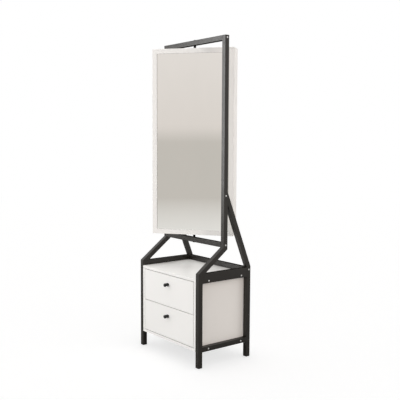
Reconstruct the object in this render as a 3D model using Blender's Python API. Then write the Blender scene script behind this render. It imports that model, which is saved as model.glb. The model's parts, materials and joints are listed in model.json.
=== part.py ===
"""Rotating jewelry armoire: a mirror cabinet that swivels in a tubular steel frame above a two-drawer chest.

Units are metres, +Z is up and the front looks along -Y. The origin lies on the floor in the middle of the
footprint. Left and right are as seen from the front, so left is -X.
"""
import math

import bmesh
import bpy
from mathutils import Matrix, Vector

# Clearances
SEAT_GAP = 0.0003            # between two pieces that touch
BORE_CLEARANCE = 0.0004      # round a pin, rod or bush in its hole, on the radius
SWING_CLEARANCE = 0.0121     # between the turning cabinet's corners and the posts

# Steel tube
TUBE = 0.0254                # side of the square tube
TUBE_WALL = 0.0010
TUBE_CORNER = 0.0013         # outer corner radius
CORNER_STEPS = 3

# Steel frame
FRAME_WIDTH = 0.530
FRAME_DEPTH = 0.350
FRAME_HEIGHT = 1.682
FRONT_BEND_Z = 0.486         # front edge where a front leg turns into its brace
POST_BEND_Z = 0.608          # front edge where the brace turns into the post
REAR_BRACE_SEAT_Z = 0.822    # where a rear brace's underside meets the post
POST_SPLIT_RISE = 0.071      # the joint between a post's two lengths, above that seat
SLEEVE_REACH = 0.060         # how far the joint's sleeve reaches into each length
SLEEVE_WALL = 0.0015
POST_CAP = 0.0025            # thickness of the cap that closes a post
LOWER_BAR_RISE = 0.0095      # the lower crossbar's centre above the post's bend
RAIL_TOP_Z = 0.485           # top of the rails round the chest's top
UPPER_RAIL_HEIGHT = 0.050
LOWER_RAIL_Z = 0.0945        # centre of the lower side rails
FOOT_HEIGHT = 0.005
FOOT_STEM = 0.015            # how far a foot reaches into its leg
FOOT_CHAMFER = 0.0015

# Swivel
SWIVEL_REST = 37.8           # degrees that the cabinet is turned at rest
PIVOT_GAP = 0.0187           # between a crossbar and the cabinet
PIN_RADIUS = 0.004
PIN_HEAD_RADIUS = 0.008
PIN_HEAD_HEIGHT = 0.0035
PIN_HEAD_DOME = ((0, 1), (0.7, 0.85), (1, 0.3))    # shares of the head's radius and height, crown to rim
PIN_COLLAR_RADIUS = 0.0068
BUSH_RADIUS = 0.006
BUSH_FLANGE_RADIUS = 0.0078
BUSH_FLANGE = 0.0015
ROUND_STEPS = 16

# Chest
CHEST_PANEL = 0.015
CHEST_BACK = 0.005
CHEST_BACK_INSET = 0.004
CHEST_TOP_DROP = 0.002       # the chest's top below the back rail
CHEST_BOTTOM_LIFT = 0.0015   # the chest's underside above the lower rails' underside

# Drawers
DRAWER_REVEAL = 0.0024       # gap round a drawer front and beside the drawer
DRAWER_FRONT = 0.015
DRAWER_SIDE = 0.012
DRAWER_BOTTOM = 0.004
DRAWER_BOTTOM_LIFT = 0.010   # the drawer bottom above the sides' lower edges
DRAWER_BACK_SPACE = 0.036    # behind a closed drawer, to the chest's back
DRAWER_BOX_HEIGHT = 0.120
DRAWER_BOX_LIFT = 0.020      # the box above the front's lower edge
RUNNER_HEIGHT = 0.016
RUNNER_BITE = 0.006          # how far a runner reaches into the groove of a drawer side
RUNNER_PLAY = 0.0005         # round a runner in its groove
RUNNER_SHORT = 0.010         # how far a runner ends before the drawer's back edge
KNOB_RADIUS = 0.0096
KNOB_PROJECTION = 0.0265
KNOB_DROP = 0.051            # knob's centre below the drawer front's top edge
KNOB_TURNING = (             # shares of the knob's radius and projection, from its tip to its foot
    (0, 1), (0.45, 0.985), (0.78, 0.945), (0.94, 0.885), (1, 0.8), (0.99, 0.68), (0.95, 0.54),
    (0.93, 0.44), (0.94, 0.32), (0.97, 0.2), (0.97, 0.07), (0.93, 0.03),
)
KNOB_STUD_RADIUS = 0.002
KNOB_STEPS = 20
KNOB_NOTCH_RADIUS = 0.0062   # round notch across the knob's underside
KNOB_NOTCH_MIDDLE = 0.0118   # notch's middle in front of the drawer front

# Mirror cabinet
CABINET_DEPTH = 0.092
CABINET_PANEL = 0.015
MIRROR_BORDER = 0.025        # width of the white frame round the mirror
MIRROR_LIP = 0.005           # thickness of the frame in front of the glass
MIRROR_REBATE = 0.012        # how far the glass reaches behind the frame
GLASS = 0.004
BACKING = 0.005
SHELF = 0.012
SHELF_PITCH = 0.240
SHELF_SETBACK = 0.002        # shelves inside the cabinet's back edge
ROD_RADIUS = 0.003
ROD_SEAT = 0.006             # depth of a rod's hole
ROD_RISE = 0.038             # guard rod above its shelf
ROD_INSET = 0.010            # guard rod inside the cabinet's back edge
HOOK_COUNT = 9
HOOK_STRIP = 0.003           # thickness of the strip that carries the hooks
HOOK_STRIP_HEIGHT = 0.025
HOOK_DROP = 0.050            # centre of the strip below the cabinet's top panel
HOOK_RADIUS = 0.002
HOOK_REACH = 0.018
HOOK_BEND = 0.008
HOOK_CURL = 108.0            # degrees that a hook curls up at its tip
HOOK_STEPS = 5
HOOK_SIDES = 8

# Places worked out from the sizes above
AXIS_Y = KNOB_PROJECTION / 2
INNER_X = FRAME_WIDTH / 2 - TUBE
TUBE_X = (FRAME_WIDTH - TUBE) / 2
TUBE_BORE = TUBE - 2 * TUBE_WALL
LEG_Y = (FRAME_DEPTH - TUBE) / 2
TOP_BAR_Z = FRAME_HEIGHT - TUBE / 2
LOWER_BAR_Z = POST_BEND_Z + LOWER_BAR_RISE
BACK_RAIL_Z = RAIL_TOP_Z - TUBE / 2
POST_SPLIT_Z = REAR_BRACE_SEAT_Z + POST_SPLIT_RISE
CHEST_TOP_Z = RAIL_TOP_Z - TUBE - CHEST_TOP_DROP
CHEST_BOTTOM_Z = LOWER_RAIL_Z - TUBE / 2 + CHEST_BOTTOM_LIFT
CHEST_X = INNER_X - SEAT_GAP
CHEST_INNER_X = CHEST_X - CHEST_PANEL
CHEST_FRONT_Y = -FRAME_DEPTH / 2
DRAWER_OPENING = CHEST_TOP_Z - CHEST_BOTTOM_Z - 2 * CHEST_PANEL
DRAWER_HEIGHT = (DRAWER_OPENING - 3 * DRAWER_REVEAL) / 2
DRAWER_X = CHEST_INNER_X - DRAWER_REVEAL
DRAWER_INNER_X = DRAWER_X - DRAWER_SIDE
DRAWER_BOX_Y = DRAWER_FRONT + SEAT_GAP
DRAWER_BACK_Y = FRAME_DEPTH - CHEST_BACK_INSET - CHEST_BACK - DRAWER_BACK_SPACE
RUNNER_Z = DRAWER_BOX_LIFT + DRAWER_BOX_HEIGHT / 2
CABINET_Z0 = LOWER_BAR_Z + TUBE / 2 + PIVOT_GAP
CABINET_Z1 = TOP_BAR_Z - TUBE / 2 - PIVOT_GAP
CABINET_Y = CABINET_DEPTH / 2
CABINET_X = math.sqrt((INNER_X - SWING_CLEARANCE) ** 2 - CABINET_Y ** 2)
CABINET_INNER_X = CABINET_X - CABINET_PANEL
CABINET_FLOOR_Z = CABINET_Z0 + CABINET_PANEL
CABINET_CEILING_Z = CABINET_Z1 - CABINET_PANEL
GLASS_Y = -CABINET_Y + MIRROR_LIP + SEAT_GAP
BACKING_Y = GLASS_Y + GLASS + SEAT_GAP
STORE_Y = BACKING_Y + BACKING + SEAT_GAP

FINISHES = {
    "black_steel": ((0.035, 0.034, 0.032), 0.45, 0.0),
    "black_plastic": ((0.025, 0.025, 0.025), 0.6, 0.0),
    "white_board": ((0.82, 0.81, 0.79), 0.4, 0.0),
    "drawer_board": ((0.74, 0.73, 0.71), 0.5, 0.0),
    "runner_wood": ((0.62, 0.48, 0.32), 0.6, 0.0),
    "mirror_silver": ((0.92, 0.93, 0.93), 0.02, 1.0),
    "nylon": ((0.02, 0.02, 0.02), 0.55, 0.0),
    "black_knob": ((0.02, 0.02, 0.02), 0.3, 0.0),
}
SMOOTH_ANGLE = 40.0          # degrees between faces that are shaded as one round face
SIDES = ((-1, "left"), (1, "right"))
ACROSS = Vector((1, 0, 0))
BACKWARD = Vector((0, 1, 0))
UP = Vector((0, 0, 1))


def clear_scene():
    for old in list(bpy.data.objects):
        bpy.data.objects.remove(old, do_unlink=True)


def finish(name):
    """Return the material of that name, made on first use."""
    found = bpy.data.materials.get(name)
    if found:
        return found
    colour, roughness, metallic = FINISHES[name]
    material = bpy.data.materials.new(name)
    material.use_nodes = True
    shader = material.node_tree.nodes["Principled BSDF"]
    shader.inputs["Base Color"].default_value = (*colour, 1.0)
    shader.inputs["Roughness"].default_value = roughness
    shader.inputs["Metallic"].default_value = metallic
    material.diffuse_color = (*colour, 1.0)
    return material


def add_empty(name, location, parent=None, turn=0.0):
    empty = bpy.data.objects.new(name, None)
    empty.location = location
    empty.rotation_euler = (0.0, 0.0, math.radians(turn))
    empty.parent = parent
    bpy.context.collection.objects.link(empty)
    return empty


def soften(mesh):
    mesh.shade_smooth()
    mesh.set_sharp_from_angle(angle=math.radians(SMOOTH_ANGLE))


def add_node(name, solid, finish_name, parent):
    """Turn a bmesh into one named object with outward faces and a finish."""
    bmesh.ops.recalc_face_normals(solid, faces=solid.faces)
    mesh = bpy.data.meshes.new(name)
    solid.to_mesh(mesh)
    solid.free()
    soften(mesh)
    mesh.materials.append(finish(finish_name))
    node = bpy.data.objects.new(name, mesh)
    node.parent = parent
    bpy.context.collection.objects.link(node)
    return node


def add_box(solid, low, high):
    size = [b - a for a, b in zip(low, high)]
    centre = [(a + b) / 2 for a, b in zip(low, high)]
    place = Matrix.Translation(centre) @ Matrix.Diagonal((*size, 1.0))
    bmesh.ops.create_cube(solid, size=1.0, matrix=place)


def box_node(name, low, high, finish_name, parent):
    solid = bmesh.new()
    add_box(solid, low, high)
    return add_node(name, solid, finish_name, parent)


def bridge(solid, first, second):
    """Join two rings of vertices with a band of quads."""
    count = len(first)
    for i in range(count):
        j = (i + 1) % count
        solid.faces.new((first[i], first[j], second[j], second[i]))


def chain(solid, rings):
    """Join rings one after another and close both ends."""
    for near, far in zip(rings, rings[1:]):
        bridge(solid, near, far)
    solid.faces.new(rings[0])
    solid.faces.new(rings[-1])


def rounded_rectangle(width, height, radius):
    """Points round a rectangle with arcs at its corners."""
    points = []
    for quarter in range(4):
        sign_u = 1 if quarter in (0, 3) else -1
        sign_v = 1 if quarter in (0, 1) else -1
        for step in range(CORNER_STEPS + 1):
            turn = (quarter + step / CORNER_STEPS) * math.pi / 2
            u = sign_u * (width / 2 - radius) + radius * math.cos(turn)
            v = sign_v * (height / 2 - radius) + radius * math.sin(turn)
            points.append((u, v))
    return points


def tube_profiles(width, height):
    """Outer and inner outline of the square or oblong tube."""
    outer = rounded_rectangle(width, height, TUBE_CORNER)
    inner = rounded_rectangle(width - 2 * TUBE_WALL, height - 2 * TUBE_WALL, TUBE_CORNER - TUBE_WALL)
    return outer, inner


def cut_ring(solid, profile, origin, side, axis, cut):
    """Lay a profile on a cutting plane, sliding its points along the bar's axis."""
    point, normal = cut
    up = axis.cross(side)
    ring = []
    for u, v in profile:
        base = origin + side * u + up * v
        slide = (point - base).dot(normal) / axis.dot(normal)
        ring.append(solid.verts.new(base + axis * slide))
    return ring


def add_bar(solid, profiles, start, end, side, start_cut=None, end_cut=None):
    """Sweep a profile from start to end between two cutting planes; a second profile is the bore."""
    axis = (end - start).normalized()
    start_cut = start_cut or (start, axis)
    end_cut = end_cut or (end, axis)
    first = [cut_ring(solid, profile, start, side, axis, start_cut) for profile in profiles]
    last = [cut_ring(solid, profile, start, side, axis, end_cut) for profile in profiles]
    if len(profiles) == 1:
        chain(solid, [first[0], last[0]])
        return
    for near, far in zip(first, last):
        bridge(solid, near, far)
    bridge(solid, *first)
    bridge(solid, *last)


def add_square_turning(solid, x, y, levels):
    """Stack square outlines of (width, corner radius, height) about a vertical axis."""
    rings = []
    for width, corner, z in levels:
        outline = rounded_rectangle(width, width, corner)
        rings.append([solid.verts.new((x + u, y + v, z)) for u, v in outline])
    chain(solid, rings)


def add_lathe(solid, profile, place, steps):
    """Turn a profile of (radius, height) points about Z; a radius of 0 closes an end."""
    rings = []
    for radius, height in profile:
        ring = []
        for i in range(1 if radius == 0 else steps):
            angle = 2 * math.pi * i / steps
            point = Vector((radius * math.cos(angle), radius * math.sin(angle), height))
            ring.append(solid.verts.new(place @ point))
        rings.append(ring)
    following = rings[1:] if profile[0][0] == 0 else rings[1:] + rings[:1]
    for near, far in zip(rings, following):
        if len(near) == len(far):
            bridge(solid, near, far)
            continue
        pole, rim = (near[0], far) if len(near) == 1 else (far[0], near)
        for i in range(steps):
            solid.faces.new((pole, rim[i], rim[(i + 1) % steps]))


def add_rod(solid, start, end, radius):
    """Add a round rod with flat ends."""
    length = (end - start).length
    turn = (end - start).to_track_quat("Z", "Y").to_matrix().to_4x4()
    profile = [(0, length), (radius, length), (radius, 0), (0, 0)]
    add_lathe(solid, profile, Matrix.Translation(start) @ turn, ROUND_STEPS)


def add_wire(solid, path, radius):
    """Sweep a circle along a path that lies in a plane of constant X."""
    rings = []
    for i, point in enumerate(path):
        before = path[max(i - 1, 0)]
        after = path[min(i + 1, len(path) - 1)]
        up = (after - before).normalized().cross(ACROSS)
        angles = [2 * math.pi * k / HOOK_SIDES for k in range(HOOK_SIDES)]
        spokes = [ACROSS * math.cos(angle) + up * math.sin(angle) for angle in angles]
        rings.append([solid.verts.new(point + spoke * radius) for spoke in spokes])
    chain(solid, rings)


def combine(node, other, operation):
    """Cut a bmesh of closed solids out of a node, or join them to it, and keep the result as its mesh."""
    bmesh.ops.recalc_face_normals(other, faces=other.faces)
    mesh = bpy.data.meshes.new("tool")
    other.to_mesh(mesh)
    other.free()
    tool = bpy.data.objects.new("tool", mesh)
    tool.parent = node.parent
    tool.hide_render = True
    tool.display_type = "WIRE"
    bpy.context.collection.objects.link(tool)
    change = node.modifiers.new("change", "BOOLEAN")
    change.operation = operation
    change.object = tool
    bpy.context.view_layer.update()
    shaped = bpy.data.meshes.new_from_object(node.evaluated_get(bpy.context.evaluated_depsgraph_get()))
    node.modifiers.clear()
    node.data = shaped
    soften(shaped)
    bpy.data.objects.remove(tool, do_unlink=True)


def drill(node, holes):
    """Bore round holes, each given as (start, end, radius)."""
    cutters = bmesh.new()
    for start, end, radius in holes:
        add_rod(cutters, start, end, radius)
    combine(node, cutters, "DIFFERENCE")


def mitre_cut(point, normal, keep):
    """Return a cutting plane set back by half a seat gap; keep is 1 for the piece in front of the plane."""
    return point - normal * keep * SEAT_GAP / 2, normal


def side_frame(side, name, frame):
    """Build one side of the frame: legs with feet, braces, the post in two lengths, rails."""
    x = side * TUBE_X
    square = tube_profiles(TUBE, TUBE)

    def tube_node(label, start, end, start_cut=None, end_cut=None, profiles=square):
        solid = bmesh.new()
        add_bar(solid, profiles, start, end, ACROSS, start_cut, end_cut)
        return add_node(f"{name}_{label}", solid, "black_steel", frame)

    leg_foot = FOOT_HEIGHT + SEAT_GAP
    front_bend = Vector((x, -FRAME_DEPTH / 2, FRONT_BEND_Z))
    post_bend = Vector((x, -TUBE / 2, POST_BEND_Z))
    brace_axis = (post_bend - front_bend).normalized()
    to_brace_centre = brace_axis.cross(ACROSS) * TUBE / 2
    mitre = (brace_axis + UP).normalized()
    tube_node("front_leg", Vector((x, -LEG_Y, leg_foot)), Vector((x, -LEG_Y, FRONT_BEND_Z)),
              end_cut=mitre_cut(front_bend, mitre, 1))
    tube_node("front_brace", front_bend + to_brace_centre, post_bend + to_brace_centre,
              mitre_cut(front_bend, mitre, -1), mitre_cut(post_bend, mitre, 1))
    tube_node("lower_post", Vector((x, 0, POST_BEND_Z)), Vector((x, 0, POST_SPLIT_Z - SEAT_GAP / 2)),
              mitre_cut(post_bend, mitre, -1))
    upper_post(x, name, frame)

    rear_bend = Vector((x, FRAME_DEPTH / 2 - TUBE, RAIL_TOP_Z))
    rear_seat = Vector((x, TUBE / 2, REAR_BRACE_SEAT_Z))
    rear_axis = (rear_seat - rear_bend).normalized()
    to_rear_centre = rear_axis.cross(ACROSS) * TUBE / 2
    rear_mitre = (rear_axis + UP).normalized()
    tube_node("rear_leg", Vector((x, LEG_Y, leg_foot)), Vector((x, LEG_Y, RAIL_TOP_Z)),
              end_cut=mitre_cut(rear_bend, rear_mitre, 1))
    tube_node("rear_brace", rear_bend + to_rear_centre, rear_seat + to_rear_centre,
              mitre_cut(rear_bend, rear_mitre, -1), (rear_seat + BACKWARD * SEAT_GAP, BACKWARD))

    rail_y = FRAME_DEPTH / 2 - TUBE - SEAT_GAP
    rail_z = RAIL_TOP_Z - UPPER_RAIL_HEIGHT / 2
    tube_node("lower_rail", Vector((x, -rail_y, LOWER_RAIL_Z)), Vector((x, rail_y, LOWER_RAIL_Z)))
    upper_rail = tube_node("upper_rail", Vector((x, -rail_y, rail_z)), Vector((x, rail_y, rail_z)),
                           profiles=tube_profiles(TUBE, UPPER_RAIL_HEIGHT))
    half = TUBE / 2 + SEAT_GAP
    brace_space = bmesh.new()
    add_bar(brace_space, [[(-TUBE, -half), (TUBE, -half), (TUBE, half), (-TUBE, half)]],
            front_bend + to_brace_centre - brace_axis * TUBE, post_bend + to_brace_centre, ACROSS)
    combine(upper_rail, brace_space, "DIFFERENCE")

    for label, y in (("front_foot", -LEG_Y), ("rear_foot", LEG_Y)):
        foot = bmesh.new()
        corner = TUBE_CORNER - TUBE_WALL
        stem = TUBE_BORE - 2 * SEAT_GAP
        add_square_turning(foot, x, y, [
            (TUBE - 2 * FOOT_CHAMFER, corner, 0),
            (TUBE, TUBE_CORNER, FOOT_CHAMFER),
            (TUBE, TUBE_CORNER, FOOT_HEIGHT),
            (stem, corner, FOOT_HEIGHT),
            (stem, corner, FOOT_HEIGHT + FOOT_STEM),
        ])
        add_node(f"{name}_{label}", foot, "black_plastic", frame)


def upper_post(x, name, frame):
    """Build the upper length of a post, capped on top, with the sleeve that plugs into the lower length."""
    corner = TUBE_CORNER - TUBE_WALL
    sleeve = TUBE_BORE - 2 * SEAT_GAP
    bore = sleeve - 2 * SLEEVE_WALL
    split = POST_SPLIT_Z + SEAT_GAP / 2
    solid = bmesh.new()
    add_square_turning(solid, x, 0, [
        (TUBE_BORE, corner, FRAME_HEIGHT - POST_CAP),
        (TUBE_BORE, corner, split + SLEEVE_REACH),
        (bore, corner, split + SLEEVE_REACH),
        (bore, corner, split - SLEEVE_REACH),
        (sleeve, corner, split - SLEEVE_REACH),
        (sleeve, corner, split),
        (TUBE, TUBE_CORNER, split),
        (TUBE, TUBE_CORNER, FRAME_HEIGHT),
    ])
    add_node(f"{name}_upper_post", solid, "black_steel", frame)


def crossbars(frame):
    """Build the two pivot bars and the back rail between the side frames."""
    reach = ACROSS * (INNER_X - SEAT_GAP)
    for name, y, z in (("top_crossbar", 0, TOP_BAR_Z), ("lower_crossbar", 0, LOWER_BAR_Z),
                       ("back_rail", LEG_Y, BACK_RAIL_Z)):
        centre = Vector((0, y, z))
        solid = bmesh.new()
        add_bar(solid, tube_profiles(TUBE, TUBE), centre - reach, centre + reach, BACKWARD)
        bar = add_node(name, solid, "black_steel", frame)
        if name != "back_rail":
            drill(bar, [(centre - UP * TUBE, centre + UP * TUBE, PIN_RADIUS + BORE_CLEARANCE)])


def pivots(frame, swivel):
    """Build the pins in the crossbars and the bushes in the cabinet, above and below it."""
    hole = PIN_RADIUS + BORE_CLEARANCE
    bar_face = PIVOT_GAP - SEAT_GAP
    head_face = PIVOT_GAP + TUBE + SEAT_GAP
    flange_face = SEAT_GAP + BUSH_FLANGE
    dome = [(PIN_HEAD_RADIUS * r, head_face + PIN_HEAD_HEIGHT * h) for r, h in PIN_HEAD_DOME]
    for name, cabinet_z, turn in (("top", CABINET_Z1, 0), ("bottom", CABINET_Z0, math.pi)):
        place = Matrix.Translation((0, 0, cabinet_z)) @ Matrix.Rotation(turn, 4, "X")
        pin = bmesh.new()
        add_lathe(pin, [
            *dome,
            (PIN_HEAD_RADIUS, head_face),
            (PIN_RADIUS, head_face),
            (PIN_RADIUS, bar_face),
            (PIN_COLLAR_RADIUS, bar_face),
            (PIN_COLLAR_RADIUS, flange_face + SEAT_GAP),
            (PIN_RADIUS, flange_face + SEAT_GAP),
            (PIN_RADIUS, -CABINET_PANEL),
            (0, -CABINET_PANEL),
        ], place, ROUND_STEPS)
        add_node(f"{name}_pivot_pin", pin, "black_steel", frame)
        bush = bmesh.new()
        add_lathe(bush, [
            (hole, flange_face),
            (BUSH_FLANGE_RADIUS, flange_face),
            (BUSH_FLANGE_RADIUS, SEAT_GAP),
            (BUSH_RADIUS, SEAT_GAP),
            (BUSH_RADIUS, -CABINET_PANEL),
            (hole, -CABINET_PANEL),
        ], place, ROUND_STEPS)
        add_node(f"{name}_pivot_bush", bush, "nylon", swivel)


def chest(frame):
    """Build the white carcass between the side frames."""
    back_y = FRAME_DEPTH / 2
    for side, name in SIDES:
        edges = sorted((side * CHEST_X, side * CHEST_INNER_X))
        box_node(f"chest_{name}_side", (edges[0], CHEST_FRONT_Y, CHEST_BOTTOM_Z),
                 (edges[1], back_y, CHEST_TOP_Z), "white_board", frame)
    inner_x = CHEST_INNER_X - SEAT_GAP
    floor_z = CHEST_BOTTOM_Z + CHEST_PANEL
    ceiling_z = CHEST_TOP_Z - CHEST_PANEL
    box_node("chest_top", (-inner_x, CHEST_FRONT_Y, ceiling_z), (inner_x, back_y, CHEST_TOP_Z),
             "white_board", frame)
    box_node("chest_bottom", (-inner_x, CHEST_FRONT_Y, CHEST_BOTTOM_Z), (inner_x, back_y, floor_z),
             "white_board", frame)
    box_node("chest_back", (-inner_x, back_y - CHEST_BACK_INSET - CHEST_BACK, floor_z + SEAT_GAP),
             (inner_x, back_y - CHEST_BACK_INSET, ceiling_z - SEAT_GAP), "white_board", frame)


def drawers(frame):
    """Build both drawers and the runners on the chest's sides that carry them."""
    for index, name in enumerate(("lower", "upper")):
        lift = DRAWER_REVEAL + index * (DRAWER_HEIGHT + DRAWER_REVEAL)
        base_z = CHEST_BOTTOM_Z + CHEST_PANEL + lift
        slide = add_empty(f"{name}_drawer_slide", (0, CHEST_FRONT_Y, base_z), frame)
        drawer(f"{name}_drawer", slide)
        for side, side_name in SIDES:
            edges = sorted((side * (CHEST_INNER_X - SEAT_GAP), side * (DRAWER_X - RUNNER_BITE)))
            start_y = CHEST_FRONT_Y + DRAWER_BOX_Y + RUNNER_PLAY
            end_y = CHEST_FRONT_Y + DRAWER_BACK_Y - RUNNER_SHORT
            middle_z = base_z + RUNNER_Z
            box_node(f"{name}_{side_name}_runner", (edges[0], start_y, middle_z - RUNNER_HEIGHT / 2),
                     (edges[1], end_y, middle_z + RUNNER_HEIGHT / 2), "runner_wood", frame)


def drawer(name, slide):
    """Build one drawer about the lower edge of its front: five boards and a knob."""
    front = box_node(f"{name}_front", (-DRAWER_X, 0, 0), (DRAWER_X, DRAWER_FRONT, DRAWER_HEIGHT),
                     "white_board", slide)
    low_z = DRAWER_BOX_LIFT
    high_z = DRAWER_BOX_LIFT + DRAWER_BOX_HEIGHT
    back_y = DRAWER_BACK_Y
    groove_x = DRAWER_X - RUNNER_BITE - RUNNER_PLAY
    groove = RUNNER_HEIGHT / 2 + RUNNER_PLAY
    for side, side_name in SIDES:
        outline = [(DRAWER_INNER_X, low_z), (DRAWER_X, low_z), (DRAWER_X, RUNNER_Z - groove),
                   (groove_x, RUNNER_Z - groove), (groove_x, RUNNER_Z + groove),
                   (DRAWER_X, RUNNER_Z + groove), (DRAWER_X, high_z), (DRAWER_INNER_X, high_z)]
        board = bmesh.new()
        add_bar(board, [[(side * u, -v) for u, v in outline]], BACKWARD * DRAWER_BOX_Y, BACKWARD * back_y,
                ACROSS)
        add_node(f"{name}_{side_name}_side", board, "drawer_board", slide)
    inner_x = DRAWER_INNER_X - SEAT_GAP
    box_node(f"{name}_back", (-inner_x, back_y - DRAWER_SIDE, low_z), (inner_x, back_y, high_z),
             "drawer_board", slide)
    floor_z = low_z + DRAWER_BOTTOM_LIFT
    box_node(f"{name}_bottom", (-inner_x, DRAWER_BOX_Y, floor_z),
             (inner_x, back_y - DRAWER_SIDE - SEAT_GAP, floor_z + DRAWER_BOTTOM), "drawer_board", slide)

    knob_z = DRAWER_HEIGHT - KNOB_DROP
    drill(front, [(Vector((0, -DRAWER_FRONT, knob_z)), Vector((0, 2 * DRAWER_FRONT, knob_z)),
                   KNOB_STUD_RADIUS + BORE_CLEARANCE)])
    knob = bmesh.new()
    profile = [(KNOB_RADIUS * r, KNOB_PROJECTION * h) for r, h in KNOB_TURNING]
    profile.append((profile[-1][0], SEAT_GAP))
    profile.append((KNOB_STUD_RADIUS, SEAT_GAP))
    profile.append((KNOB_STUD_RADIUS, -DRAWER_FRONT))
    profile.append((0, -DRAWER_FRONT))
    place = Matrix.Translation((0, 0, knob_z)) @ Matrix.Rotation(math.pi / 2, 4, "X")
    add_lathe(knob, profile, place, KNOB_STEPS)
    turned = add_node(f"{name}_knob", knob, "black_knob", slide)
    notch_z = knob_z - KNOB_RADIUS
    drill(turned, [(Vector((-2 * KNOB_RADIUS, -KNOB_NOTCH_MIDDLE, notch_z)),
                    Vector((2 * KNOB_RADIUS, -KNOB_NOTCH_MIDDLE, notch_z)), KNOB_NOTCH_RADIUS)])


def mirror_face(swivel):
    """Build the rebated frame round the mirror, the glass and its backing board."""
    body = MIRROR_BORDER - MIRROR_REBATE
    back_y = BACKING_Y + BACKING
    outline = [(0, -CABINET_Y), (MIRROR_BORDER, -CABINET_Y), (MIRROR_BORDER, -CABINET_Y + MIRROR_LIP),
               (body, -CABINET_Y + MIRROR_LIP), (body, back_y), (0, back_y)]
    solid = bmesh.new()
    corners = []
    for side_x, side_z in ((-1, -1), (1, -1), (1, 1), (-1, 1)):
        edge_z = CABINET_Z1 if side_z == 1 else CABINET_Z0
        corners.append([solid.verts.new((side_x * (CABINET_X - inset), y, edge_z - side_z * inset))
                        for inset, y in outline])
    for near, far in zip(corners, corners[1:] + corners[:1]):
        bridge(solid, near, far)
    add_node("mirror_frame", solid, "white_board", swivel)
    pane_x = CABINET_X - body - SEAT_GAP
    low_z = CABINET_Z0 + body + SEAT_GAP
    high_z = CABINET_Z1 - body - SEAT_GAP
    box_node("mirror_glass", (-pane_x, GLASS_Y, low_z), (pane_x, GLASS_Y + GLASS, high_z),
             "mirror_silver", swivel)
    box_node("mirror_backing", (-pane_x, BACKING_Y, low_z), (pane_x, back_y, high_z), "white_board", swivel)


def cabinet_box(swivel):
    """Build the storage box behind the mirror, open at the back."""
    sides = {}
    for side, name in SIDES:
        edges = sorted((side * CABINET_X, side * CABINET_INNER_X))
        sides[side] = box_node(f"cabinet_{name}_side", (edges[0], STORE_Y, CABINET_Z0),
                               (edges[1], CABINET_Y, CABINET_Z1), "white_board", swivel)
    inner_x = CABINET_INNER_X - SEAT_GAP
    barrel = BUSH_RADIUS + BORE_CLEARANCE
    for name, low_z, high_z in (("cabinet_top", CABINET_CEILING_Z, CABINET_Z1),
                                ("cabinet_bottom", CABINET_Z0, CABINET_FLOOR_Z)):
        panel = box_node(name, (-inner_x, STORE_Y, low_z), (inner_x, CABINET_Y, high_z),
                         "white_board", swivel)
        drill(panel, [(UP * (low_z - CABINET_PANEL), UP * (high_z + CABINET_PANEL), barrel)])
    seat_x = CABINET_INNER_X + ROD_SEAT
    rod_y = CABINET_Y - ROD_INSET
    holes = {-1: [], 1: []}
    for level, name in ((1, "lower"), (2, "upper")):
        shelf_z = CABINET_FLOOR_Z + level * SHELF_PITCH
        box_node(f"{name}_shelf", (-inner_x, STORE_Y, shelf_z - SHELF),
                 (inner_x, CABINET_Y - SHELF_SETBACK, shelf_z), "white_board", swivel)
        middle = Vector((0, rod_y, shelf_z + ROD_RISE))
        rod = bmesh.new()
        add_rod(rod, middle - ACROSS * seat_x, middle + ACROSS * seat_x, ROD_RADIUS)
        add_node(f"{name}_guard_rod", rod, "black_steel", swivel)
        for side in holes:
            end = middle + ACROSS * side * (seat_x + SEAT_GAP)
            holes[side].append((middle, end, ROD_RADIUS + BORE_CLEARANCE))
    for side, panel in sides.items():
        drill(panel, holes[side])


def hook_strip(swivel):
    """Build the strip of necklace hooks under the cabinet's top panel."""
    inner_x = CABINET_INNER_X - SEAT_GAP
    z = CABINET_CEILING_Z - HOOK_DROP
    strip = box_node("hook_strip", (-inner_x, STORE_Y, z - HOOK_STRIP_HEIGHT / 2),
                     (inner_x, STORE_Y + HOOK_STRIP, z + HOOK_STRIP_HEIGHT / 2), "black_steel", swivel)
    pitch = 2 * CABINET_INNER_X / HOOK_COUNT
    wires = bmesh.new()
    for i in range(HOOK_COUNT):
        x = (i - (HOOK_COUNT - 1) / 2) * pitch
        path = [Vector((x, STORE_Y + HOOK_STRIP / 2, z)), Vector((x, STORE_Y + HOOK_REACH, z))]
        for step in range(1, HOOK_STEPS + 1):
            turn = math.radians(HOOK_CURL) * step / HOOK_STEPS
            path.append(path[1] + Vector((0, HOOK_BEND * math.sin(turn), HOOK_BEND * (1 - math.cos(turn)))))
        add_wire(wires, path, HOOK_RADIUS)
    combine(strip, wires, "UNION")


def build():
    clear_scene()
    frame = add_empty("armoire", (0, AXIS_Y, 0))
    swivel = add_empty("swivel", (0, 0, 0), frame, SWIVEL_REST)
    bpy.context.view_layer.update()
    for side, name in SIDES:
        side_frame(side, name, frame)
    crossbars(frame)
    pivots(frame, swivel)
    chest(frame)
    drawers(frame)
    mirror_face(swivel)
    cabinet_box(swivel)
    hook_strip(swivel)
    bpy.context.view_layer.update()


build()
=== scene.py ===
import json
import math

import bmesh
import bpy
from mathutils import Matrix, Vector

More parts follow.
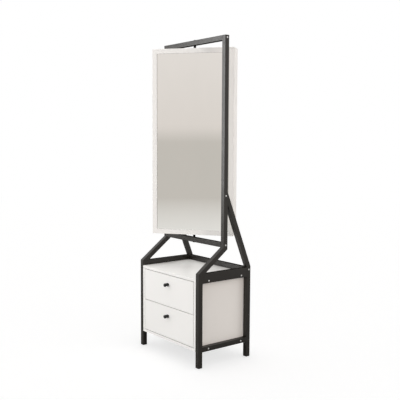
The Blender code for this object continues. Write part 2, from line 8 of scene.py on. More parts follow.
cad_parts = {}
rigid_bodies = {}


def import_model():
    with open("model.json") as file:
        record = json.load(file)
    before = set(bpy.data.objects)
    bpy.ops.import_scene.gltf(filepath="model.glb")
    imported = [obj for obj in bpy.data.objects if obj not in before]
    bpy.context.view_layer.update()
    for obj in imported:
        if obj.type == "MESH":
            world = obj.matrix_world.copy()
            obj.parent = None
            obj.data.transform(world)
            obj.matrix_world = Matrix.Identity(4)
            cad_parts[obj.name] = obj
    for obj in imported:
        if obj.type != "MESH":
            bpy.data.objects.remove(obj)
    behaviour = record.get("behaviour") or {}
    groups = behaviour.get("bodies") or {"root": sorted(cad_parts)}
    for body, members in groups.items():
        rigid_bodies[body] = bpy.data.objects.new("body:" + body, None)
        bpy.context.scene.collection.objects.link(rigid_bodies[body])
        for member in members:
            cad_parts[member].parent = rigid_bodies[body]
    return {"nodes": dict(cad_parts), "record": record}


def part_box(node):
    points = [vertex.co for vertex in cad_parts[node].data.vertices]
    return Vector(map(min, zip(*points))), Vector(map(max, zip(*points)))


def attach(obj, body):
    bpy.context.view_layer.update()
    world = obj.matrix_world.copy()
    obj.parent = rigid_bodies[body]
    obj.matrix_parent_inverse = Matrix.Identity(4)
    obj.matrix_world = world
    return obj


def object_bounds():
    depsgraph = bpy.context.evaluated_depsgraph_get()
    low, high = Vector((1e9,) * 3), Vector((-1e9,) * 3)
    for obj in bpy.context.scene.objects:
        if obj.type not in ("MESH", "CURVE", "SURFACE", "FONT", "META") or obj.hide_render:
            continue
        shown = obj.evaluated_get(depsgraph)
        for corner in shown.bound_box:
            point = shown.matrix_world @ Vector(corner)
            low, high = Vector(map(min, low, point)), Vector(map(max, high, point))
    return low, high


for leftover in list(bpy.data.objects):
    bpy.data.objects.remove(leftover, do_unlink=True)

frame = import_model()
cad_low, cad_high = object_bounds()
scene = bpy.context.scene
nodes = frame["nodes"]
slot_of = {part["node"]: part["material_slot"] for part in frame["record"]["subparts"]}

# Camera, fitted to the photograph
CAMERA_PLACE = (2.84517, -2.19180, 1.14982)
CAMERA_YAW = math.radians(51.7344)
CAMERA_PITCH = math.radians(5.0363)
CAMERA_ROLL = math.radians(0.2689)
CAMERA_LENS = 59.94
CAMERA_SENSOR = 36.0
CAMERA_REACH = 200.0

# Screw heads: size, how deep the head is seated in the tube's face, and places that the nodes don't give
SCREW_RADIUS = 0.0046
SCREW_HEIGHT = 0.0027
SCREW_SEGMENTS = 28
SCREW_SEAT = 0.0002
RAIL_SCREW_REACH = 0.110
RAIL_SCREW_RISE = 0.0115
SLEEVE_SCREW_Z = 0.872

# Profile of a screw head from its seat to its middle, as shares of its radius and height
SCREW_PROFILE = (
    (0.0, 0.0), (0.90, 0.0), (0.98, 0.10), (1.0, 0.24), (0.97, 0.45),
    (0.88, 0.68), (0.70, 0.86), (0.42, 0.96), (0.0, 1.0),
)

# Driver recess: half length and half width of an arm, depth and the cutter's top, as shares of the head's
# radius and height, then how much the cutter flares at its top and narrows at its bottom in x and y
RECESS_HALF = 0.52
RECESS_SLIM = 0.11
RECESS_DEPTH = 0.62
RECESS_TOP = 1.3
RECESS_FLARE = 1.05
RECESS_NARROW = (0.62, 0.75)

# Degrees of a recess's turn per metre of the screw's place, so that the recesses don't line up
TWIST_BY_Y = 1000.0
TWIST_BY_Z = 7000.0
TWIST_REPEAT = 90.0

# Soft light from all round
WORLD_LEVEL = 0.60
WORLD_COLOUR = (1.0, 0.995, 0.99, 1.0)
WHITE = (1.0, 1.0, 1.0, 1.0)

# Floor: a disc just under the feet. In a mirror its glow rises between the NEAR distances, and it turns
# into the walls, as seen from MIRROR_HEIGHT, between the FAR ones.
FLOOR_TONE = 0.61
FLOOR_UNEVENNESS = 0.01
FLOOR_ROUGHNESS = 0.9
FLOOR_RADIUS = 40.0
FLOOR_SEGMENTS = 96
FLOOR_DROP = 0.0005
FLOOR_NEAR = (1.4, 4.8)
FLOOR_FAR = (4.8, 10.0)
FLOOR_GLOW = (0.44, 0.42, 0.385)
MIRROR_HEIGHT = 1.14

# Walls that mirrors and gloss show: tones by how far a direction leans up and back
SURROUND_LEAN = (-0.22, 0.50, 1.2)
SURROUND_STOPS = (
    (0.226, (0.575, 0.54, 0.495)),
    (0.240, (0.75, 0.695, 0.65)),
    (0.31, (0.81, 0.76, 0.72)),
    (0.50, (0.905, 0.87, 0.835)),
    (0.70, (0.99, 0.98, 0.97)),
)

LAMPS = (
    # name, place, aim, power, width, height, colour, card seen only in gloss
    ("front_light", (0.5, -4.8, 1.7), (0.0, 0.0, 0.8), 40.0, 3.0, 2.6, (1.0, 0.964, 0.95), False),
    ("low_light", (0.1, -2.2, 0.40), (0.0, 0.0, 0.25), 7.6, 1.4, 0.6, (1.0, 0.99, 0.98), False),
    ("left_light", (-2.0, -2.8, 1.85), (0.0, 0.0, 1.0), 43.0, 1.5, 2.2, (1.0, 1.0, 1.0), False),
    ("gloss_card", (-1.75, -2.45, 1.53), (0.0, 0.0, 1.2), 57.0, 1.5, 1.9, (0.98, 0.993, 1.0), True),
    ("right_light", (4.6, 0.3, 1.5), (0.0, 0.0, 0.6), 49.0, 2.6, 2.4, (1.0, 0.82, 0.70), False),
    ("back_light", (-2.4, 4.2, 1.8), (0.0, 0.0, 0.9), 70.0, 2.6, 2.6, (1.0, 1.0, 1.0), False),
    ("rear_light", (2.8, 4.2, 1.8), (0.0, 0.0, 0.9), 45.0, 2.6, 2.6, (1.0, 0.98, 0.94), False),
    ("top_light", (0.0, -0.3, 4.2), (0.0, 0.0, 0.5), 56.0, 2.6, 2.6, (0.99, 1.0, 0.98), False),
)

# Board edges: only edges longer than EASED_LENGTH are eased
EASED_SLOTS = ("white_board", "drawer_board", "runner_wood")
BOARD_EASE = 0.0009
DRAWER_EASE = 0.0012
EASE_SEGMENTS = 3
EASED_LENGTH = 0.008
SMOOTH_ANGLE = math.radians(38.0)
WELD_DISTANCE = 0.00002

# Gloss of the powder coat, which fades out between the two GRAZING values of facing
COAT_GLOSS = 0.46
COAT_GRAZING = (0.56, 0.76)
COAT_GRAZING_GLOSS = 0.0

# Gloss of the other finishes that aren't at the usual level
PAINT_GLOSS = 0.40
NYLON_GLOSS = 0.25
LACQUER_GLOSS = 0.28
OXIDE_GLOSS = 0.18

# Rubbing along outer edges
EDGE_SAMPLES = 4
EDGE_REACH = 0.0022
EDGE_BEND = (0.995, 0.93)
COAT_WEAR = 0.55
COAT_WORN = (0.050, 0.048, 0.045, 1.0)

# Painted shade in narrow gaps: colour darkened where ambient occlusion finds close surfaces
GAP_SHADE_SAMPLES = 8
GAP_SHADE_REACH = 0.004
GAP_SHADE_STOPS = ((0.30, (0.10, 0.09, 0.08)), (0.55, (1.0, 1.0, 1.0)))

# Usual range of a noise, and the colour sockets of a mix node
NOISE_LOW, NOISE_HIGH = 0.3, 0.7
MIX_AMOUNT, MIX_FIRST, MIX_SECOND, MIX_RESULT = 0, 6, 7, 2
UNSTRETCHED = (1.0, 1.0, 1.0)


class Tree:
    """A material's or the world's node tree, with short calls for the nodes used here."""

    def __init__(self, tree):
        self.tree = tree
        self.where = None

    def add(self, kind, **settings):
        node = self.tree.nodes.new(kind)
        for name, value in settings.items():
            setattr(node, name, value)
        return node

    def link(self, source, target):
        self.tree.links.new(source, target)

    def feed(self, socket, value):
        """Links an output to a socket, or sets the socket's own value."""
        if isinstance(value, bpy.types.NodeSocket):
            self.link(value, socket)
        else:
            socket.default_value = value

    def put(self, node, **values):
        """Feeds a node's inputs by name, with _ for a space."""
        for name, value in values.items():
            self.feed(node.inputs[name.replace("_", " ")], value)

    def place(self, stretch=UNSTRETCHED):
        """Coordinates in metres, fixed to the piece, stretched along its axes."""
        if self.where is None:
            self.where = self.add("ShaderNodeTexCoord").outputs["Object"]
        if stretch == UNSTRETCHED:
            return self.where
        mapping = self.add("ShaderNodeMapping")
        self.put(mapping, Vector=self.where, Scale=stretch)
        return mapping.outputs["Vector"]

    def noise(self, scale, detail=2.0, roughness=0.5, stretch=UNSTRETCHED, distortion=0.0):
        node = self.add("ShaderNodeTexNoise")
        self.put(node, Vector=self.place(stretch), Scale=scale, Detail=detail)
        self.put(node, Roughness=roughness, Distortion=distortion)
        return node.outputs["Fac"]

    def ramp(self, source, stops):
        node = self.add("ShaderNodeValToRGB")
        self.link(source, node.inputs["Fac"])
        elements = node.color_ramp.elements
        while len(elements) < len(stops):
            elements.new(0.5)
        for element, (position, colour) in zip(elements, stops):
            element.position = position
            element.color = (*colour, 1.0)
        return node.outputs["Color"]

    def remap(self, source, low, high, start=0.0, end=1.0):
        """The source as start at low and end at high."""
        node = self.add("ShaderNodeMapRange")
        self.link(source, node.inputs["Value"])
        node.inputs["From Min"].default_value = low
        node.inputs["From Max"].default_value = high
        node.inputs["To Min"].default_value = start
        node.inputs["To Max"].default_value = end
        return node.outputs["Result"]

    def spread(self, source, low, high):
        """A noise's usual range as low to high."""
        return self.remap(source, NOISE_LOW, NOISE_HIGH, low, high)

    def blend(self, first, second, amount, mode="MIX"):
        node = self.add("ShaderNodeMix", data_type="RGBA", blend_type=mode)
        for index, value in ((MIX_AMOUNT, amount), (MIX_FIRST, first), (MIX_SECOND, second)):
            self.feed(node.inputs[index], value)
        return node.outputs[MIX_RESULT]

    def painted_gap_shade(self):
        """Painted shade in narrow gaps, darkest where ambient occlusion is strongest, as a factor on the
        colour.
        """
        node = self.add("ShaderNodeAmbientOcclusion", samples=GAP_SHADE_SAMPLES)
        node.inputs["Distance"].default_value = GAP_SHADE_REACH
        return self.ramp(node.outputs["AO"], GAP_SHADE_STOPS)

    def edge(self):
        """1 beside a sharp or tightly rounded outer edge, 0 on the flat."""
        rounded = self.add("ShaderNodeBevel", samples=EDGE_SAMPLES)
        rounded.inputs["Radius"].default_value = EDGE_REACH
        match = self.add("ShaderNodeVectorMath", operation="DOT_PRODUCT")
        self.link(rounded.outputs["Normal"], match.inputs[0])
        self.link(self.add("ShaderNodeNewGeometry").outputs["Normal"], match.inputs[1])
        return self.remap(match.outputs["Value"], *EDGE_BEND)

    def bump(self, height, distance, strength=1.0, below=None):
        node = self.add("ShaderNodeBump")
        self.put(node, Height=height, Distance=distance, Strength=strength)
        if below is not None:
            self.link(below, node.inputs["Normal"])
        return node.outputs["Normal"]


def new_material(name):
    """A new material with its node helper and its shader."""
    material = bpy.data.materials.new(name)
    material.use_nodes = True
    shader = material.node_tree.nodes["Principled BSDF"]
    return material, Tree(material.node_tree), shader


def powder_coat():
    """Charcoal powder coat: fine grain, uneven gloss that fades at a low angle, edges rubbed paler."""
    material, tree, shader = new_material("charcoal_powder_coat")
    drift = tree.noise(scale=7.0, detail=3.0)
    colour = tree.ramp(drift, [(0.3, (0.0108, 0.0089, 0.0066)), (0.7, (0.0152, 0.0130, 0.0104))])
    fine = tree.noise(scale=950.0, detail=2.0, roughness=0.6)
    fleck = tree.ramp(fine, [(0.35, (0.80, 0.80, 0.80)), (0.72, (1.25, 1.25, 1.25))])
    coat = tree.blend(colour, fleck, 1.0, "MULTIPLY")
    rub = tree.add("ShaderNodeMath", operation="MULTIPLY")
    tree.link(tree.edge(), rub.inputs[0])
    patches = tree.noise(scale=64.0, detail=5.0, roughness=0.65)
    tree.link(tree.spread(patches, 0.0, COAT_WEAR), rub.inputs[1])
    tree.put(shader, Base_Color=tree.blend(coat, COAT_WORN, rub.outputs[0]))
    tree.put(shader, Roughness=tree.spread(tree.noise(scale=38.0, detail=4.0), 0.29, 0.37))
    facing = tree.add("ShaderNodeLayerWeight").outputs["Facing"]
    gloss = tree.remap(facing, *COAT_GRAZING, COAT_GLOSS, COAT_GRAZING_GLOSS)
    tree.link(gloss, shader.inputs["Specular IOR Level"])
    swell = tree.bump(tree.noise(scale=240.0, detail=1.0), distance=0.00005, strength=0.5)
    tree.put(shader, Normal=tree.bump(fine, distance=0.00006, strength=0.7, below=swell))
    return material


def white_paint(name, light, dark, roughness):
    """Sprayed satin paint on board: orange peel, a trace of unevenness, very faint handling marks and
    painted shade darkening narrow gaps.
    """
    material, tree, shader = new_material(name)
    drift = tree.noise(scale=3.5, detail=4.0, roughness=0.55)
    colour = tree.ramp(drift, [(0.32, dark), (0.68, light)])
    fine = tree.noise(scale=420.0, detail=1.0)
    speck = tree.ramp(fine, [(0.30, (0.975, 0.975, 0.972)), (0.60, (1.0, 1.0, 1.0))])
    painted = tree.blend(colour, speck, 1.0, "MULTIPLY")
    # Painted shade: the paint colour is darkened in narrow gaps and crevices
    tree.put(shader, Base_Color=tree.blend(painted, tree.painted_gap_shade(), 1.0, "MULTIPLY"))
    smear = tree.noise(scale=26.0, detail=5.0, roughness=0.65, stretch=(1.0, 1.0, 0.45))
    tree.put(shader, Roughness=tree.spread(smear, *roughness))
    shader.inputs["Specular IOR Level"].default_value = PAINT_GLOSS
    peel = tree.bump(tree.noise(scale=310.0, detail=2.0), distance=0.00005, strength=0.45)
    waves = tree.noise(scale=60.0, detail=1.0)
    tree.put(shader, Normal=tree.bump(waves, distance=0.00008, strength=0.3, below=peel))
    return material


def foil_board():
    """Foil-covered drawer board: a fine pressed grain along its length."""
    material, tree, shader = new_material("drawer_foil")
    grain = tree.noise(scale=140.0, detail=3.0, roughness=0.6, stretch=(0.12, 0.12, 1.0))
    colour = tree.ramp(grain, [(0.25, (0.690, 0.680, 0.660)), (0.75, (0.765, 0.757, 0.740))])
    tree.put(shader, Base_Color=colour)
    tree.put(shader, Roughness=tree.spread(tree.noise(scale=30.0, detail=3.0), 0.46, 0.58))
    tree.put(shader, Normal=tree.bump(grain, distance=0.00006, strength=0.5))
    return material


def beech():
    """Bare beech strip: long straight grain with short dark flecks."""
    material, tree, shader = new_material("bare_beech")
    rings = tree.noise(scale=90.0, detail=4.0, roughness=0.6, stretch=(1.0, 0.06, 1.0), distortion=0.6)
    stops = [(0.25, (0.47, 0.33, 0.20)), (0.5, (0.60, 0.45, 0.29)), (0.78, (0.70, 0.55, 0.38))]
    wood = tree.ramp(rings, stops)
    fleck = tree.noise(scale=420.0, detail=1.0, stretch=(1.0, 0.10, 1.0))
    dark = tree.ramp(fleck, [(0.22, (0.72, 0.66, 0.60)), (0.40, (1.0, 1.0, 1.0))])
    tree.put(shader, Base_Color=tree.blend(wood, dark, 1.0, "MULTIPLY"))
    tree.put(shader, Roughness=tree.spread(rings, 0.50, 0.66))
    tree.put(shader, Normal=tree.bump(fleck, distance=0.00010, strength=0.5))
    return material


def mirror():
    """Silvered plate glass: a clean mirror with the faint haze of wiped glass and a green cast."""
    material, tree, shader = new_material("silvered_glass")
    haze = tree.noise(scale=9.0, detail=5.0, roughness=0.6, stretch=(1.0, 1.0, 0.5))
    colour = tree.ramp(haze, [(0.30, (0.913, 0.923, 0.914)), (0.70, (0.932, 0.938, 0.930))])
    tree.put(shader, Base_Color=colour, Metallic=1.0)
    tree.put(shader, Roughness=tree.spread(haze, 0.004, 0.016))
    return material


def nylon():
    """Black turned nylon: matte, with fine turning lines round the axis."""
    material, tree, shader = new_material("black_nylon")
    lines = tree.noise(scale=900.0, detail=1.0, stretch=(0.05, 0.05, 1.0))
    colour = tree.ramp(lines, [(0.3, (0.006, 0.006, 0.006)), (0.7, (0.012, 0.012, 0.012))])
    tree.put(shader, Base_Color=colour)
    tree.put(shader, Roughness=tree.spread(tree.noise(scale=160.0), 0.50, 0.62))
    shader.inputs["Specular IOR Level"].default_value = NYLON_GLOSS
    tree.put(shader, Normal=tree.bump(lines, distance=0.00005, strength=0.5))
    return material


def moulded_plastic():
    """Matte black moulded plastic with a spark-eroded texture."""
    material, tree, shader = new_material("black_moulding")
    spark = tree.noise(scale=1300.0, detail=2.0, roughness=0.7)
    colour = tree.ramp(spark, [(0.3, (0.010, 0.010, 0.010)), (0.7, (0.022, 0.022, 0.021))])
    tree.put(shader, Base_Color=colour)
    tree.put(shader, Roughness=tree.spread(tree.noise(scale=60.0, detail=3.0), 0.55, 0.70))
    tree.put(shader, Normal=tree.bump(spark, distance=0.00008, strength=0.8))
    return material


def knob_lacquer():
    """Black lacquer over turned metal: satin, with a soft highlight and faint turning lines."""
    material, tree, shader = new_material("black_lacquer")
    drift = tree.noise(scale=120.0, detail=3.0)
    colour = tree.ramp(drift, [(0.3, (0.006, 0.006, 0.006)), (0.7, (0.013, 0.013, 0.012))])
    tree.put(shader, Base_Color=colour)
    tree.put(shader, Roughness=tree.spread(tree.noise(scale=240.0, detail=2.0), 0.34, 0.46))
    shader.inputs["Specular IOR Level"].default_value = LACQUER_GLOSS
    turning = tree.noise(scale=1500.0, detail=1.0, stretch=(0.04, 1.0, 0.04))
    tree.put(shader, Normal=tree.bump(turning, distance=0.00002, strength=0.5))
    return material


def painted_shade_black_oxide():
    """Dull black turned steel of the pivot pins, its colour darkened further with painted shade."""
    material, tree, shader = new_material("black_oxide_steel")
    lines = tree.noise(scale=700.0, detail=2.0, stretch=(0.06, 0.06, 1.0))
    # Painted shade: base colour set darker than the black oxide alone would be, for the shade the pins sit
    # in
    colour = tree.ramp(lines, [(0.3, (0.0030, 0.0030, 0.0031)), (0.7, (0.0065, 0.0064, 0.0062))])
    tree.put(shader, Base_Color=colour)
    tree.put(shader, Roughness=tree.spread(tree.noise(scale=160.0, detail=3.0), 0.50, 0.64))
    shader.inputs["Specular IOR Level"].default_value = OXIDE_GLOSS
    tree.put(shader, Normal=tree.bump(lines, distance=0.00004, strength=0.5))
    return material


def zinc():
    """Bright zinc-plated steel for the screw heads."""
    material, tree, shader = new_material("bright_zinc")
    drift = tree.noise(scale=300.0, detail=3.0)
    colour = tree.ramp(drift, [(0.3, (0.80, 0.80, 0.79)), (0.7, (0.93, 0.93, 0.92))])
    tree.put(shader, Base_Color=colour, Metallic=1.0)
    tree.put(shader, Roughness=tree.spread(tree.noise(scale=700.0, detail=2.0), 0.24, 0.38))
    tree.put(shader, Normal=tree.bump(tree.noise(scale=2200.0), distance=0.00002, strength=0.4))
    return material


PAINT = white_paint(
    "white_satin_paint",
    light=(0.850, 0.840, 0.822), dark=(0.832, 0.820, 0.800), roughness=(0.33, 0.44),
)
EDGE_PAINT = white_paint(
    "white_paint_eased_edge",
    light=(0.835, 0.823, 0.802), dark=(0.800, 0.785, 0.760), roughness=(0.38, 0.52),
)
ZINC = zinc()
PIN_STEEL = painted_shade_black_oxide()
FINISHES = {
    "black_steel": powder_coat(),
    "white_board": PAINT,
    "drawer_board": foil_board(),
    "runner_wood": beech(),
    "mirror_silver": mirror(),
    "nylon": nylon(),
    "black_plastic": moulded_plastic(),
    "black_knob": knob_lacquer(),
}


def weld_group():
    """Geometry nodes that join a solid's loose corners, smooth its round faces and mark edges to ease."""
    group = bpy.data.node_groups.new("weld_and_smooth", "GeometryNodeTree")
    group.interface.new_socket("Geometry", in_out="INPUT", socket_type="NodeSocketGeometry")
    group.interface.new_socket("Geometry", in_out="OUTPUT", socket_type="NodeSocketGeometry")
    made = group.nodes
    start = made.new("NodeGroupInput")
    weld = made.new("GeometryNodeMergeByDistance")
    weld.inputs["Distance"].default_value = WELD_DISTANCE
    plain = made.new("GeometryNodeRemoveAttribute")
    plain.inputs["Name"].default_value = "custom_normal"
    faces = made.new("GeometryNodeSetShadeSmooth")
    faces.domain = "FACE"
    edges = made.new("GeometryNodeSetShadeSmooth")
    edges.domain = "EDGE"
    angle = made.new("GeometryNodeInputMeshEdgeAngle")
    limit = made.new("FunctionNodeCompare")
    limit.data_type = "FLOAT"
    limit.operation = "LESS_EQUAL"
    limit.inputs[1].default_value = SMOOTH_ANGLE
    ends = made.new("GeometryNodeInputMeshEdgeVertices")
    length = made.new("ShaderNodeVectorMath")
    length.operation = "DISTANCE"
    long = made.new("FunctionNodeCompare")
    long.data_type = "FLOAT"
    long.operation = "GREATER_THAN"
    long.inputs[1].default_value = EASED_LENGTH
    outer = made.new("FunctionNodeBooleanMath")
    outer.operation = "NIMPLY"
    mark = made.new("GeometryNodeStoreNamedAttribute")
    mark.domain = "EDGE"
    mark.data_type = "FLOAT"
    mark.inputs["Name"].default_value = "bevel_weight_edge"
    finish = made.new("NodeGroupOutput")
    links = group.links
    links.new(start.outputs[0], plain.inputs["Geometry"])
    links.new(plain.outputs["Geometry"], weld.inputs["Geometry"])
    links.new(weld.outputs["Geometry"], faces.inputs["Geometry"])
    links.new(faces.outputs["Geometry"], edges.inputs["Geometry"])
    links.new(angle.outputs["Unsigned Angle"], limit.inputs[0])
    links.new(limit.outputs["Result"], edges.inputs["Shade Smooth"])
    links.new(ends.outputs["Position 1"], length.inputs[0])
    links.new(ends.outputs["Position 2"], length.inputs[1])
    links.new(length.outputs["Value"], long.inputs[0])
    links.new(long.outputs["Result"], outer.inputs[0])
    links.new(limit.outputs["Result"], outer.inputs[1])
    links.new(outer.outputs["Boolean"], mark.inputs["Value"])
    links.new(edges.outputs["Geometry"], mark.inputs["Geometry"])
    links.new(mark.outputs["Geometry"], finish.inputs[0])
    return group


def dress_nodes():
    """Gives each CAD node its finish, smooth round faces and, on boards, eased edges."""
    weld = weld_group()
    for name, node in nodes.items():
        slot = slot_of[name]
        node.data.materials.clear()
        # Pivot pins get black oxide steel whose colour carries painted shade
        node.data.materials.append(PIN_STEEL if name.endswith("pivot_pin") else FINISHES[slot])
        smooth = node.modifiers.new("weld_and_smooth", "NODES")
        smooth.node_group = weld
        if slot in EASED_SLOTS:
            ease = node.modifiers.new("eased_edges", "BEVEL")
            ease.width = DRAWER_EASE if name.endswith("drawer_front") else BOARD_EASE
            ease.segments = EASE_SEGMENTS
            ease.limit_method = "WEIGHT"
            ease.harden_normals = True
            if slot == "white_board":
                node.data.materials.append(EDGE_PAINT)
                ease.material = 1
        else:
            weighted = node.modifiers.new("flat_faces", "WEIGHTED_NORMAL")
            weighted.keep_sharp = True


def mesh_object(name, build, material):
    """An object of one material whose mesh the build function makes."""
    mesh = bpy.data.meshes.new(name)
    solid = bmesh.new()
    build(solid)
    bmesh.ops.recalc_face_normals(solid, faces=solid.faces)
    solid.to_mesh(mesh)
    solid.free()
    mesh.materials.append(material)
    made = bpy.data.objects.new(name, mesh)
    scene.collection.objects.link(made)
    return made


def lathe(solid, profile, segments):
    """Turns a closed-on-the-axis profile of (radius, height) points round +Z."""
    rings = []
    for radius, height in profile:
        if radius == 0.0:
            rings.append([solid.verts.new((0.0, 0.0, height))])
            continue
        ring = []
        for step in range(segments):
            angle = 2.0 * math.pi * step / segments
            ring.append(solid.verts.new((radius * math.cos(angle), radius * math.sin(angle), height)))
        rings.append(ring)
    for lower, upper in zip(rings, rings[1:]):
        for step in range(segments):
            after = (step + 1) % segments
            corners = []
            for ring, order in ((lower, (step, after)), (upper, (after, step))):
                for index in order:
                    vertex = ring[0] if len(ring) == 1 else ring[index]
                    if vertex not in corners:
                        corners.append(vertex)
            solid.faces.new(corners)


def screw_head(solid):
    """Domed pan head with a rolled rim."""
    profile = [(SCREW_RADIUS * out, SCREW_HEIGHT * up) for out, up in SCREW_PROFILE]
    lathe(solid, profile, SCREW_SEGMENTS)


def cross_cutter(solid):
    """Tapered cross for the driver recess."""
    half, slim = SCREW_RADIUS * RECESS_HALF, SCREW_RADIUS * RECESS_SLIM
    bottom, top = SCREW_HEIGHT - SCREW_HEIGHT * RECESS_DEPTH, SCREW_HEIGHT * RECESS_TOP
    narrow_x, narrow_y = RECESS_NARROW
    outline = [(half, slim), (slim, slim), (slim, half), (-slim, half), (-slim, slim), (-half, slim)]
    outline += [(-x, -y) for x, y in outline]
    upper = [solid.verts.new((x * RECESS_FLARE, y * RECESS_FLARE, top)) for x, y in outline]
    lower = [solid.verts.new((x * narrow_x, y * narrow_y, bottom)) for x, y in outline]
    solid.faces.new(upper)
    solid.faces.new(list(reversed(lower)))
    for index in range(len(outline)):
        after = (index + 1) % len(outline)
        solid.faces.new((lower[index], lower[after], upper[after], upper[index]))


def recessed_screw_mesh():
    """One mesh for all screws: the head with the cross cut out of it."""
    head = mesh_object("screw_blank", screw_head, ZINC)
    cutter = mesh_object("screw_cutter", cross_cutter, ZINC)
    cut = head.modifiers.new("recess", "BOOLEAN")
    cut.operation = "DIFFERENCE"
    cut.solver = "EXACT"
    cut.object = cutter
    depsgraph = bpy.context.evaluated_depsgraph_get()
    mesh = bpy.data.meshes.new_from_object(head.evaluated_get(depsgraph))
    mesh.name = "screw_head"
    mesh.shade_smooth()
    mesh.set_sharp_from_angle(angle=SMOOTH_ANGLE)
    bpy.data.objects.remove(head)
    bpy.data.objects.remove(cutter)
    return mesh


def middle(name):
    """Middle of a node's box."""
    low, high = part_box(name)
    return (low + high) / 2


def screws():
    """Silver screws on the outer faces of both side frames, where each rail and bar is fixed."""
    mesh = recessed_screw_mesh()
    for side, sign in (("left", -1), ("right", 1)):
        low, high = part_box(f"{side}_upper_post")
        outer = high.x if sign > 0 else low.x
        axis_y = (low.y + high.y) / 2
        upper_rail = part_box(f"{side}_upper_rail")
        lower_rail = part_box(f"{side}_lower_rail")
        spots = {
            "top_bar": (axis_y, middle("top_crossbar").z),
            "post_sleeve": (axis_y, SLEEVE_SCREW_Z),
            "lower_bar": (axis_y, middle("lower_crossbar").z),
            "back_rail": (middle("back_rail").y, middle("back_rail").z),
        }
        for place, (y, z) in spots.items():
            add_screw(f"{side}_{place}_screw", mesh, outer, sign, y, z)
        for place, y in (("front", axis_y - RAIL_SCREW_REACH), ("rear", axis_y + RAIL_SCREW_REACH)):
            upper_z = upper_rail[0].z + RAIL_SCREW_RISE
            lower_z = (lower_rail[0].z + lower_rail[1].z) / 2
            add_screw(f"{side}_upper_rail_{place}_screw", mesh, outer, sign, y, upper_z)
            add_screw(f"{side}_lower_rail_{place}_screw", mesh, outer, sign, y, lower_z)


def add_screw(name, mesh, outer, sign, y, z):
    """A screw head on a side frame's outer face, seated a little way into it."""
    screw = bpy.data.objects.new(name, mesh)
    scene.collection.objects.link(screw)
    twist = math.radians((y * TWIST_BY_Y + z * TWIST_BY_Z) % TWIST_REPEAT)
    turn = Matrix.Rotation(sign * math.pi / 2, 4, "Y") @ Matrix.Rotation(twist, 4, "Z")
    screw.matrix_world = Matrix.Translation((outer - sign * SCREW_SEAT, y, z)) @ turn
    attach(screw, "frame")


def camera():
    """The photograph's camera: place, direction, roll and lens."""
    forward = Vector((
        -math.sin(CAMERA_YAW) * math.cos(CAMERA_PITCH),
        math.cos(CAMERA_YAW) * math.cos(CAMERA_PITCH),
        -math.sin(CAMERA_PITCH),
    ))
    right = forward.cross(Vector((0.0, 0.0, 1.0))).normalized()
    up = right.cross(forward)
    rolled_right = math.cos(CAMERA_ROLL) * right + math.sin(CAMERA_ROLL) * up
    rolled_up = -math.sin(CAMERA_ROLL) * right + math.cos(CAMERA_ROLL) * up
    data = bpy.data.cameras.new("camera")
    data.lens = CAMERA_LENS
    data.sensor_width = CAMERA_SENSOR
    data.clip_end = CAMERA_REACH
    eye = bpy.data.objects.new("camera", data)
    turn = Matrix((rolled_right, rolled_up, -forward)).transposed().to_4x4()
    eye.matrix_world = Matrix.Translation(CAMERA_PLACE) @ turn
    scene.collection.objects.link(eye)
    scene.camera = eye


def lamp(name, place, aim, power, width, height, colour, card):
    """A soft area lamp; a card lights nothing but is seen in gloss."""
    data = bpy.data.lights.new(name, "AREA")
    data.shape = "RECTANGLE"
    data.size = width
    data.size_y = height
    data.energy = power
    data.color = colour
    made = bpy.data.objects.new(name, data)
    made.location = place
    made.rotation_mode = "QUATERNION"
    made.rotation_quaternion = (Vector(aim) - Vector(place)).to_track_quat("-Z", "Y")
    made.visible_camera = False
    made.visible_glossy = card
    made.visible_diffuse = not card
    scene.collection.objects.link(made)
    return made


def surround_shade(tree, direction):
    """Tone of the studio's far walls towards a direction: darker low in front, lighter behind and above."""
    lean = tree.add("ShaderNodeVectorMath", operation="DOT_PRODUCT")
    tree.link(direction, lean.inputs[0])
    lean.inputs[1].default_value = SURROUND_LEAN
    return tree.ramp(tree.remap(lean.outputs["Value"], -1.0, 1.0), SURROUND_STOPS)


def reflected_ray(tree, path):
    """1 for a ray that comes from a mirror, gloss or glass."""
    shiny = tree.add("ShaderNodeMath", operation="MAXIMUM")
    tree.link(path.outputs["Is Glossy Ray"], shiny.inputs[0])
    tree.link(path.outputs["Is Transmission Ray"], shiny.inputs[1])
    return shiny.outputs[0]


def studio_world():
    """White to the camera, pale walls in reflections and an even soft light on the object."""
    world = bpy.data.worlds.new("studio")
    scene.world = world
    world.use_nodes = True
    tree = Tree(world.node_tree)
    world.node_tree.nodes.clear()
    path = tree.add("ShaderNodeLightPath")
    soft = tree.add("ShaderNodeBackground")
    tree.put(soft, Color=WORLD_COLOUR, Strength=WORLD_LEVEL)
    white = tree.add("ShaderNodeBackground")
    tree.put(white, Color=WHITE, Strength=1.0)
    walls = tree.add("ShaderNodeBackground")
    direction = tree.add("ShaderNodeTexCoord").outputs["Generated"]
    tree.put(walls, Color=surround_shade(tree, direction), Strength=1.0)
    reflected = tree.add("ShaderNodeMixShader")
    tree.link(reflected_ray(tree, path), reflected.inputs[0])
    tree.link(soft.outputs[0], reflected.inputs[1])
    tree.link(walls.outputs[0], reflected.inputs[2])
    seen = tree.add("ShaderNodeMixShader")
    tree.link(path.outputs["Is Camera Ray"], seen.inputs[0])
    tree.link(reflected.outputs[0], seen.inputs[1])
    tree.link(white.outputs[0], seen.inputs[2])
    output = tree.add("ShaderNodeOutputWorld")
    tree.link(seen.outputs[0], output.inputs["Surface"])


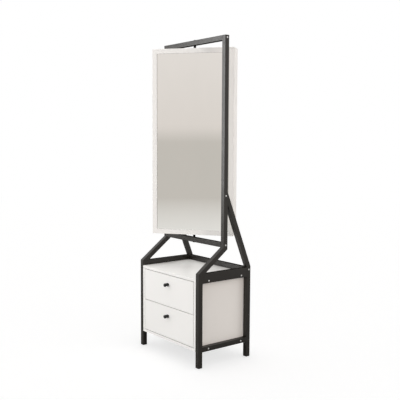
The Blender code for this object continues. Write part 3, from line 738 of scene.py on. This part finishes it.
def floor_material():
    """Pale floor, seen as white with a soft shadow, that fades into the walls in a mirror."""
    material, tree, shader = new_material("studio_floor")
    speck = tree.noise(scale=40.0, detail=4.0)
    dark, light = (FLOOR_TONE - FLOOR_UNEVENNESS,) * 3, (FLOOR_TONE + FLOOR_UNEVENNESS,) * 3
    tree.put(shader, Base_Color=tree.ramp(speck, [(0.3, dark), (0.7, light)]))
    shader.inputs["Roughness"].default_value = FLOOR_ROUGHNESS
    shader.inputs["Specular IOR Level"].default_value = 0.0
    path = tree.add("ShaderNodeLightPath")
    reflected = reflected_ray(tree, path)
    away = tree.add("ShaderNodeVectorMath", operation="LENGTH")
    tree.link(tree.place(), away.inputs[0])
    distance = away.outputs["Value"]
    lit = FLOOR_TONE * WORLD_LEVEL
    in_mirror = tree.add("ShaderNodeEmission")
    glow = tree.ramp(tree.remap(distance, *FLOOR_NEAR), [(0.0, (0.0,) * 3), (1.0, FLOOR_GLOW)])
    tree.put(in_mirror, Color=glow, Strength=reflected)
    to_camera = tree.add("ShaderNodeMath", operation="MULTIPLY")
    tree.link(path.outputs["Is Camera Ray"], to_camera.inputs[0])
    to_camera.inputs[1].default_value = 1.0 - lit
    lift = tree.add("ShaderNodeEmission")
    tree.put(lift, Color=WHITE, Strength=to_camera.outputs[0])
    near = shader.outputs[0]
    for part in (in_mirror, lift):
        both = tree.add("ShaderNodeAddShader")
        tree.link(near, both.inputs[0])
        tree.link(part.outputs[0], both.inputs[1])
        near = both.outputs[0]
    sight = tree.add("ShaderNodeVectorMath", operation="SUBTRACT")
    tree.link(tree.place(), sight.inputs[0])
    sight.inputs[1].default_value = (0.0, 0.0, MIRROR_HEIGHT)
    outward = tree.add("ShaderNodeVectorMath", operation="NORMALIZE")
    tree.link(sight.outputs["Vector"], outward.inputs[0])
    walls = tree.blend((lit, lit, lit, 1.0), surround_shade(tree, outward.outputs["Vector"]), reflected)
    far = tree.add("ShaderNodeEmission")
    tree.put(far, Color=tree.blend(walls, WHITE, path.outputs["Is Camera Ray"]), Strength=1.0)
    fade = tree.add("ShaderNodeMixShader")
    tree.link(tree.remap(distance, *FLOOR_FAR), fade.inputs[0])
    tree.link(near, fade.inputs[1])
    tree.link(far.outputs[0], fade.inputs[2])
    tree.link(fade.outputs[0], material.node_tree.nodes["Material Output"].inputs["Surface"])
    return material


def studio():
    """World, floor and lamps; the floor is lit by the world alone."""
    studio_world()

    def disc(solid):
        bmesh.ops.create_circle(solid, cap_ends=True, segments=FLOOR_SEGMENTS, radius=FLOOR_RADIUS)

    floor = mesh_object("floor", disc, floor_material())
    floor.location.z = cad_low.z - FLOOR_DROP
    floor_only = bpy.data.collections.new("floor_left_to_the_world")
    floor_only.objects.link(floor)
    floor_only.collection_objects[0].light_linking.link_state = "EXCLUDE"
    for settings in LAMPS:
        lamp(*settings).light_linking.receiver_collection = floor_only
    scene.view_settings.view_transform = "Standard"


camera()
dress_nodes()
screws()
studio()

bpy.context.view_layer.update()
